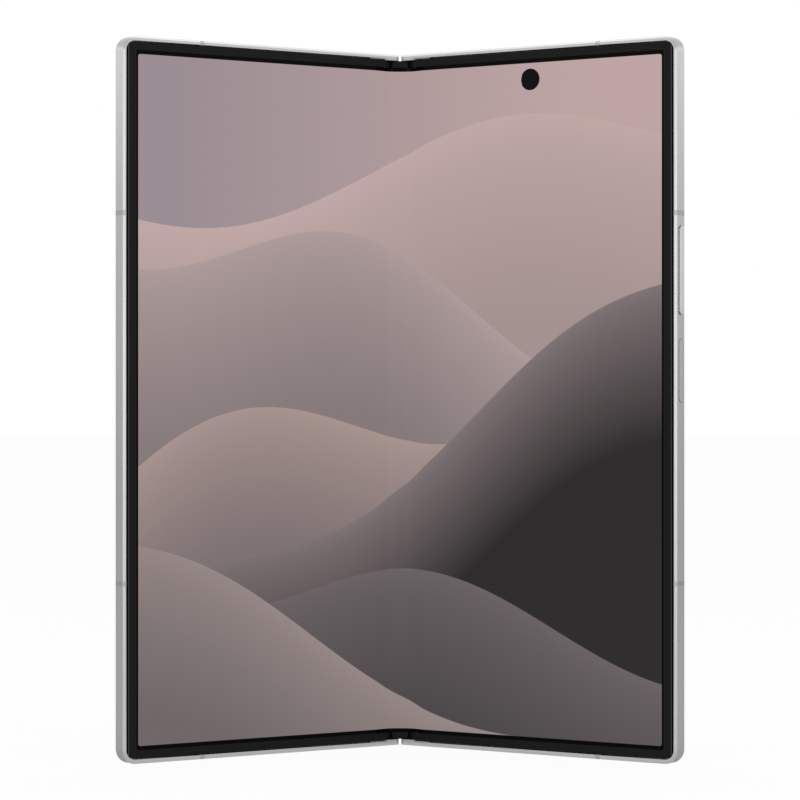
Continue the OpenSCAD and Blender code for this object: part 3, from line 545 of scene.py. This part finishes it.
# %% [markdown]
# ## The metal frames and their small parts
# Each half is one machined ring of aluminium with a floor and a rail for the hinge. Its
# chamfers are in the solid already; the bevel here only takes the knife edge off, by
# 0.06 mm, so that a thin line of light runs along each edge. The antenna lines lie flush
# in the frame and keep their edges, or they would stand in small ditches.

# %% Frames, antenna lines, keys and tray
for side in ("right", "left"):
    dress(side + "_frame", side + "_half", blasted_aluminium,
          radius=0.06)
    dress(side + "_antenna_breaks", side + "_half", antenna_plastic,
          radius=0.0)
dress("volume_key", "volume_key", satin_aluminium, radius=0.12)
dress("side_key", "side_key", sensor_coat, radius=0.10)
dress("sim_tray", "sim_tray", satin_aluminium, radius=0.10)

# %% [markdown]
# ## The spine
# Between the halves stands the spine: a curved aluminium cover with a black cap at each
# end, and inside it the hinge. The caps are small moulded parts with round shoulders, so
# their short edges are softened too, and shaded as one surface.

# %% Spine cover and caps
dress("spine_cover", "spine", spine_aluminium, radius=0.08)
for end in ("top", "bottom"):
    dress("fold_cap_" + end, "spine", cap_black, radius=0.12,
          shortest=0.05, shade=50)

# %% [markdown]
# ## Bezels
# The bezel is a thin strip laid over the edge of the screen, with its outer front edges
# rolled. Along each outer side runs a flat lip, 0.13 mm wide, that gives a fine line of
# light: its finish reflects more and is a little lighter, so the line is partly painted
# highlight. Outside it, beside the metal rim, lies a matte groove, and the inner edge falls
# away to the screen; both are flat parts of the strip, painted dark as their shade. Lines
# this fine could be painted by a mask, but cuts along the strip mark the zones off exactly,
# and each gets its own finish.


# %% Bezels
LIP_S = (70.27, 70.40)  # from where to where the lip's painted highlight runs; the groove's painted shade lies outside it
INNER_S = 68.47  # the painted shade of the inner edge ends here
INNER_HALF = 76.0  # and runs this far up and down from mid height
RIM_SIDE_S, RIM_END_HALF = 69.0, 77.5  # edges outside these run beside the metal rim
FRONT_DEPTH = 0.03  # edges less deep than this are front edges


def half_axes(s=0, z=0, side=1):
    """A point on the front of a half, and from it the ways outwards and to the back."""
    point = in_half(s, 0, z, side)
    out = (in_half(s + 1, 0, z, side) - point).normalized()
    back = (in_half(s, 1, z, side) - point).normalized()
    return point, out, back


def cut_lip(obj, side):
    """Marks off a bezel's lip, groove and inner edge: painted highlight on the lip, painted
    shade on the other two.
    """
    start, out, _ = half_axes(side=side)
    up = Vector((0, 0, 1))
    cuts = [(in_half(s, 0, 0, side), out) for s in LIP_S + (INNER_S,)]
    cuts += [(up * (HEIGHT / 2 + end * INNER_HALF) * MM, up) for end in (-1, 1)]
    mesh = bmesh.new()
    mesh.from_mesh(obj.data)
    for point, normal in cuts:
        bmesh.ops.bisect_plane(mesh, geom=mesh.verts[:] + mesh.edges[:] + mesh.faces[:],
                               dist=0.00001 * MM, plane_co=point, plane_no=normal)
    for face in mesh.faces:
        centre = face.calc_center_median()
        s = (centre - start).dot(out) / MM
        inner = s < INNER_S and abs(centre.z / MM - HEIGHT / 2) < INNER_HALF
        face.material_index = 2 if inner else sum(s > line for line in LIP_S)
    mesh.to_mesh(obj.data)
    mesh.free()


def outer_edges(side):
    """A test for the front edges of a bezel that run beside the metal rim."""
    start, out, back = half_axes(side=side)

    def outer(point):
        away = point - start
        beside = (away.dot(out) > RIM_SIDE_S * MM
                  or abs(away.z / MM - HEIGHT / 2) > RIM_END_HALF)
        return beside and away.dot(back) < FRONT_DEPTH * MM

    return lambda edge: all(outer(v.co) for v in edge.verts)


for side, sign in (("right", 1), ("left", -1)):
    bezel = dress(side + "_bezel", side + "_half", soft_black, radius=0.12,
                  shortest=0.0, segments=3, chosen=outer_edges(sign))
    # finish 1 is the lip's painted highlight, finish 2 the painted shade of the groove and the
    # inner edge
    bezel.data.materials.append(lip_painted_highlight)
    bezel.data.materials.append(groove_painted_shade)
    cut_lip(bezel, sign)


# %% [markdown]
# ## The screen
# The stiff parts of the screen are copies of their solids. The middle part bends: it is
# made here as two strips that meet at the fold line, each drawn as a curved section and
# pulled up along the fold, in the shape it has at rest. Only the front of the screen is
# lit. Its edges and its back carry a dark film, or its glow would show in the gaps beside
# the spine. The ribbon cable behind it crosses the fold in the same way.


# %% Flat places for the picture
BEND_HALF = 5.5  # the screen bends this far to each side of the fold line


def turn_at(x):
    """How far the bending sheet is turned, this far (mm) from the fold line."""
    t = min(x / BEND_HALF, 1.0)
    return REST * t * t * (3 - 2 * t)


def laid_flat(point, turn=None):
    """The s and z (mm) of a point of the scene, once the phone is opened flat."""
    side = -1 if point.x < 0 else 1
    x = abs(point.x) / MM
    turn = turn_at(x) if turn is None else turn
    deep = point.y / MM - HINGE_Y - AXIS_DEPTH
    s = AXIS_X + (x - AXIS_X) * math.cos(turn) - deep * math.sin(turn)
    return side * s, point.z / MM


def lay_picture(obj, turn=None):
    """Gives a piece of a screen its flat place as a UV map."""
    layer = obj.data.uv_layers.new(name="screen_flat")
    for loop in obj.data.loops:
        s, z = laid_flat(obj.data.vertices[loop.vertex_index].co, turn)
        layer.data[loop.index].uv = (s / UV_WIDTH + 0.5, z / UV_HEIGHT)


def darken_back(obj):
    """Leaves the front of a piece of the screen lit, and puts dark film on the rest."""
    obj.data.materials.append(backing_film)
    for polygon in obj.data.polygons:
        polygon.material_index = int(polygon.normal.y > -0.5)


for side in ("right", "left"):
    sheet = dress(side + "_display", side + "_half", folding_screen, radius=0.0)
    lay_picture(sheet)
    darken_back(sheet)


# %% Bending strips
SCREEN_FRONT, SCREEN_THICK = 0.25, 0.40
SCREEN_LOW, SCREEN_HIGH = 3.05, 155.35
CABLE_FRONT, CABLE_THICK, CABLE_REACH = 1.30, 0.12, 14.5
CABLE_LOW, CABLE_HIGH = 44.0, 56.0
BEND_STEPS = 22


def bent_point(x, y):
    """A point of the bending sheet: x from the fold line, y its depth when flat."""
    turn = turn_at(x)
    s = AXIS_X + (x - AXIS_X - (y - AXIS_DEPTH) * math.sin(turn)) / math.cos(turn)
    back = AXIS_DEPTH - (s - AXIS_X) * math.sin(turn) + (y - AXIS_DEPTH) * math.cos(turn)
    return Vector((x, back + HINGE_Y, 0)) * MM


def bending_strip(name, side, front, thick, reach, low, high, material):
    """Half of a sheet that bends about the fold, from the fold line to a half."""
    places = [BEND_HALF * i / BEND_STEPS for i in range(BEND_STEPS + 1)]
    face = [bent_point(x, front) for x in places]
    back = [bent_point(x, front + thick) for x in places]
    face.append(in_half(reach, front, 0))
    back.append(in_half(reach, front + thick, 0))
    mesh = bmesh.new()
    ring = [mesh.verts.new((p.x, p.y, low * MM)) for p in face + back[::-1]]
    section = mesh.faces.new(ring)
    grown = bmesh.ops.extrude_face_region(mesh, geom=[section])
    tops = [v for v in grown["geom"] if isinstance(v, bmesh.types.BMVert)]
    bmesh.ops.translate(mesh, verts=tops, vec=(0, 0, (high - low) * MM))
    sign = -1 if side == "left" else 1
    if sign < 0:
        bmesh.ops.scale(mesh, verts=mesh.verts[:], vec=(-1, 1, 1))
    bmesh.ops.recalc_face_normals(mesh, faces=mesh.faces[:])
    obj = new_piece(name, mesh, None, material, shade=40)
    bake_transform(obj)
    return obj


# each strip ends 0.02 mm past its bend, exactly where the stiff part starts
SCREEN_REACH = laid_flat(bent_point(BEND_HALF, SCREEN_FRONT))[0] + 0.02
for side in ("right", "left"):
    strip = bending_strip("screen_bend_" + side, side, SCREEN_FRONT, SCREEN_THICK,
                          SCREEN_REACH, SCREEN_LOW, SCREEN_HIGH, folding_screen)
    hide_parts("display_fold")
    lay_picture(strip)
    darken_back(strip)
    cable = bending_strip("flex_cable_" + side, side, CABLE_FRONT, CABLE_THICK,
                          CABLE_REACH, CABLE_LOW, CABLE_HIGH, film)
    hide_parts("fold_flex")
print("screen strips meet the halves", round(SCREEN_REACH, 3), "mm from the fold line")

# %% [markdown]
# ## The back
# The back glass and the outer screen have their edges ground round. The camera plate is
# a metal pill on the glass, and each lens has a turned ring with a bright edge. Glass is
# ground in a soft curve, so these bevels are wider and have a step more than the frame's.

# %% Back glass, camera plate and rings
dress("rear_glass", "right_half", frosted_glass, radius=0.22, segments=3)
outer_glass = dress("cover_glass", "left_half", cover_glass_finish,
                    radius=0.22, segments=3)
lay_picture(outer_glass, REST)
dress("camera_island", "right_half", island_metal, radius=0.25,
      segments=3)
dress("lens_rings", "right_half", turned_aluminium, radius=0.16,
      segments=3)
dress("camera_flash", "right_half", flash_lens, radius=0.08)

# %% [markdown]
# ## The lenses
# Under each window sits a black barrel that narrows in steps to a small domed lens. A
# half section of that shape is spun a full turn about the lens's own axis: what a
# lathe makes is drawn as a lathe makes it.


# %% Spun lenses
LENS_S, LENS_Z, LENS_STEP = 57.0, 118.0, 19.6
DOME_RADIUS, DOME_SEAT, DOME_RISE = 2.3, 5.08, 0.34
DOME_ANGLES = (18, 36, 54, 72)
GLASS_INSIDE, GLASS_OUTSIDE = 2.35, 4.6  # the dome, and the polished outer lip


def spun(section, centre, outwards, axis):
    """A closed round solid from a half section of radius and height in millimetres."""
    mesh = bmesh.new()
    verts = [mesh.verts.new(centre + outwards * (r * MM) + axis * (y * MM))
             for r, y in section]
    edges = [mesh.edges.new(pair) for pair in zip(verts, verts[1:])]
    bmesh.ops.spin(mesh, geom=verts + edges, cent=centre, axis=axis,
                   angle=2 * math.pi, steps=48, use_merge=True)
    bmesh.ops.remove_doubles(mesh, verts=mesh.verts[:], dist=0.001 * MM)
    bmesh.ops.recalc_face_normals(mesh, faces=mesh.faces[:])
    return mesh


def spun_lens(name, s, z):
    """A lens and its stepped barrel, spun about its own axis, screen side first."""
    centre, outwards, back = half_axes(s, z)
    barrel = [(0, 4.95), (5.25, 4.95), (5.25, 5.62), (4.9, 5.66), (4.5, 5.60),
              (3.9, 5.42), (3.85, 5.30), (3.1, 5.22), (3.05, 5.12),
              (DOME_RADIUS, DOME_SEAT)]
    dome = [(DOME_RADIUS * math.cos(a), DOME_SEAT + DOME_RISE * math.sin(a))
            for a in [math.radians(t) for t in DOME_ANGLES]]
    section = barrel + dome + [(0, DOME_SEAT + DOME_RISE)]
    mesh = spun(section, centre, outwards, back)
    obj = new_piece(name, mesh, "right_half", lens_barrel_finish, shade=30)
    obj.data.materials.append(lens_glass_finish)
    for polygon in obj.data.polygons:
        away = polygon.center - centre
        away -= back * away.dot(back)
        if not GLASS_INSIDE * MM <= away.length <= GLASS_OUTSIDE * MM:
            polygon.material_index = 1
    return obj


lenses = [spun_lens("rear_lens_%d" % (i + 1), LENS_S, LENS_Z + LENS_STEP * (i - 1))
          for i in range(3)]
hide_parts("lens_windows")
print("rear lenses:", len(lenses))

# %% [markdown]
# ## Socket, inner camera and what lies inside
# The charging socket is a drawn steel shell with a thin tongue that carries gold
# contacts. The inner camera looks through its hole in the screen: a black disc with a
# slightly lighter lens. What the closed phone hides keeps its plain solid, with the
# finish of the real thing.

# %% Socket and contacts
SOCKET_S = 35.8
TONGUE_DEPTH, ROW_DEPTH = 2.28, 0.36  # middle of the tongue, and from it to each row
CONTACTS, CONTACT_PITCH, CONTACT_Z = 12, 0.5, 3.4
CONTACT_SIZE = (0.26, 0.03, 2.8)
dress("usb_c_port", "right_half", shell_steel, radius=0.04)


def contact_strips():
    """Two rows of gold strips on the socket's tongue."""
    mesh = bmesh.new()
    turn = Matrix.Rotation(-REST, 4, "Z")
    size = Matrix.Diagonal([length * MM for length in CONTACT_SIZE] + [1])
    for row in (-1, 1):
        for i in range(CONTACTS):
            s = SOCKET_S + (i - (CONTACTS - 1) / 2) * CONTACT_PITCH
            spot = in_half(s, TONGUE_DEPTH + row * ROW_DEPTH, CONTACT_Z)
            bmesh.ops.create_cube(mesh, size=1.0,
                                  matrix=Matrix.Translation(spot) @ turn @ size)
    return new_piece("socket_contacts", mesh, "right_half", gold_contact)


contacts = contact_strips()
print("faces of the contacts:", len(contacts.data.polygons))


# %% Inner camera
INNER_CAMERA_S = 34.8


def inner_lens():
    """A small domed lens in a black seat, behind the hole in the screen."""
    centre, outwards, back = half_axes(INNER_CAMERA_S, CAMERA_Z)
    section = [(0, -0.60), (2.38, -0.60), (2.38, -0.34), (1.75, -0.36), (1.3, -0.44),
               (1.25, -0.50), (1.1, -0.46), (0.8, -0.39), (0.4, -0.345), (0, -0.33)]
    mesh = spun(section, centre, outwards, -back)
    return new_piece("inner_lens", mesh, "right_half", inner_lens_finish,
                     shade=30)


small_lens = inner_lens()
print("faces of the inner lens:", len(small_lens.data.polygons))


# %% Finishes for the solids that stay
def paint(finish, *names):
    """Gives CAD nodes a finish in place of their plain one."""
    for name in names:
        data = NODES[name].data
        data.materials.clear()
        data.materials.append(finish)


paint(machined_steel, "hinge_base_top", "hinge_base_bottom", "gear_block_upper",
      "gear_block_lower", "idler_right", "idler_left", "sync_arm_right",
      "sync_arm_left", "rotator_right_top", "rotator_right_bottom",
      "rotator_left_top", "rotator_left_bottom", "vibration_motor")
paint(plate_steel, "centre_plate", "right_display_plate", "left_display_plate")
paint(shell_steel, "shield_can")
paint(pin_steel, "gear_shafts", "spine_screws", "right_hinge_screws",
      "left_hinge_screws")
paint(nickel_plate, "right_magnets", "left_magnets")
paint(foil_wrap, "right_battery", "left_battery")
paint(copper, "charging_coil")
paint(solder_mask, "mainboard", "left_board")
paint(film, "key_switch_board")
paint(module_plastic, "bottom_speaker", "ear_speaker")
paint(inner_lens_finish, "inner_camera", "cover_camera", "camera_modules")
paint(panel_finish, "cover_panel")
print("solids kept:", sum(1 for o in NODES.values() if not o.hide_render))

# %% [markdown]
# ## The floor
# The photograph has a plain white ground. The floor is white to the camera, and a small
# share of it stays matte paper and takes the shadow. In reflections only the floor
# before the screen is white; the rest is matte paper, which lets the lower corners of
# the frame turn dark. The white ends along two lines that run beside the halves.

# %% Floor
FLOOR_HALF = 6.0
WHITE_SHARE = 0.95  # how much of the floor glows white, where it does
WHITE_SLOPE = 0.64  # the white's edge comes this much forward for each metre sideways
WHITE_GONE, WHITE_FULL = 0.022, 0.018  # metres behind the middle of the outline
floor_mesh = bmesh.new()
bmesh.ops.create_grid(floor_mesh, x_segments=1, y_segments=1, size=FLOOR_HALF)
floor_data = bpy.data.meshes.new("studio_floor")
floor_mesh.to_mesh(floor_data)
floor_mesh.free()
floor = bpy.data.objects.new("studio_floor", floor_data)
bpy.context.scene.collection.objects.link(floor)


def seen_rays(tree):
    """1 for rays from the camera, and for those that metal and glass send on."""
    path = add(tree, "ShaderNodeLightPath")
    shown = number(tree, "MAXIMUM", path.outputs["Is Camera Ray"],
                   path.outputs["Is Glossy Ray"])
    return number(tree, "MAXIMUM", shown, path.outputs["Is Transmission Ray"])


paper_floor, tree = new_material("white_paper_floor")
matte = add(tree, "ShaderNodeBsdfDiffuse", {"Color": linear("#F2F2F2")})
glow = add(tree, "ShaderNodeEmission", {"Color": (1, 1, 1, 1), "Strength": 1.0})
path = add(tree, "ShaderNodeLightPath")
spot = add(tree, "ShaderNodeSeparateXYZ",
           {0: add(tree, "ShaderNodeNewGeometry").outputs["Position"]})
behind = number(tree, "MULTIPLY_ADD", number(tree, "ABSOLUTE", spot.outputs["X"]),
                WHITE_SLOPE, spot.outputs["Y"])
near = add(tree, "ShaderNodeMapRange", {"Value": behind, "From Min": WHITE_GONE,
                                        "From Max": WHITE_FULL, "To Min": 0.0,
                                        "To Max": WHITE_SHARE})
share = number(tree, "MAXIMUM",
               number(tree, "MULTIPLY", path.outputs["Is Camera Ray"], WHITE_SHARE),
               number(tree, "MULTIPLY", seen_rays(tree), near.outputs["Result"]))
both = add(tree, "ShaderNodeMixShader", {0: share, 1: matte.outputs["BSDF"],
                                         2: glow.outputs["Emission"]})
add(tree, "ShaderNodeOutputMaterial", {"Surface": both.outputs["Shader"]})
floor_data.materials.append(paper_floor)
print("floor reaches this far in m:", max(v.co.x for v in floor_data.vertices))

# %% [markdown]
# ## World and lamps
# The world is white to the camera and in reflections, and lights the phone a little
# less. Seven soft lamps give the form. One hangs above and a little behind, and lights
# the top chamfers. Two in front, left and right, light the chamfers of the long sides.
# Two small ones behind make the upper part of the side bands brighter, and two further
# round to the sides are seen in the narrow flat rims round the screen. Each mirror-like
# band shows what stands where it looks, so a lamp for each gives it its own tone.

# %% World and lamps
SKYLIGHT = 0.65
world = bpy.data.worlds.new("studio")
bpy.context.scene.world = world
world.use_nodes = True
world.node_tree.nodes.clear()
level = number(world.node_tree, "MULTIPLY_ADD", seen_rays(world.node_tree),
               1 - SKYLIGHT, SKYLIGHT)
backdrop = add(world.node_tree, "ShaderNodeBackground",
               {"Color": (1, 1, 1, 1), "Strength": level})
add(world.node_tree, "ShaderNodeOutputWorld", {"Surface": backdrop.outputs[0]})


def soft_lamp(name, place, aim, size, watts):
    """A rectangular soft box that looks at a point."""
    lamp = bpy.data.objects.new(name, bpy.data.lights.new(name, "AREA"))
    bpy.context.scene.collection.objects.link(lamp)
    lamp.data.shape = "RECTANGLE"
    lamp.data.size, lamp.data.size_y = size
    lamp.data.energy = watts
    lamp.location = place
    away = Vector(aim) - Vector(place)
    lamp.rotation_euler = away.to_track_quat("-Z", "Y").to_euler()


# name, place on the right, point it looks at, size, watts
PAIRS = [("lamp_front", (0.33, -0.65, 0.15), (0, 0, 0.08), (0.40, 0.30), 0.47),
         ("lamp_side", (0.55, 0.25, 0.27), (0, 0, 0.12), (0.30, 0.16), 0.10),
         ("lamp_across", (0.62, -0.29, 0.28), (0, 0, 0.09), (0.30, 0.40), 0.17)]
soft_lamp("lamp_above", (0, 0.12, 0.60), (0, 0, 0.12), (0.60, 0.35), 0.75)
for side in (-1, 1):
    for name, (x, y, z), aim, size, watts in PAIRS:
        soft_lamp(name, (side * x, y, z), aim, size, watts)
print("lamps:", len(bpy.data.lights))
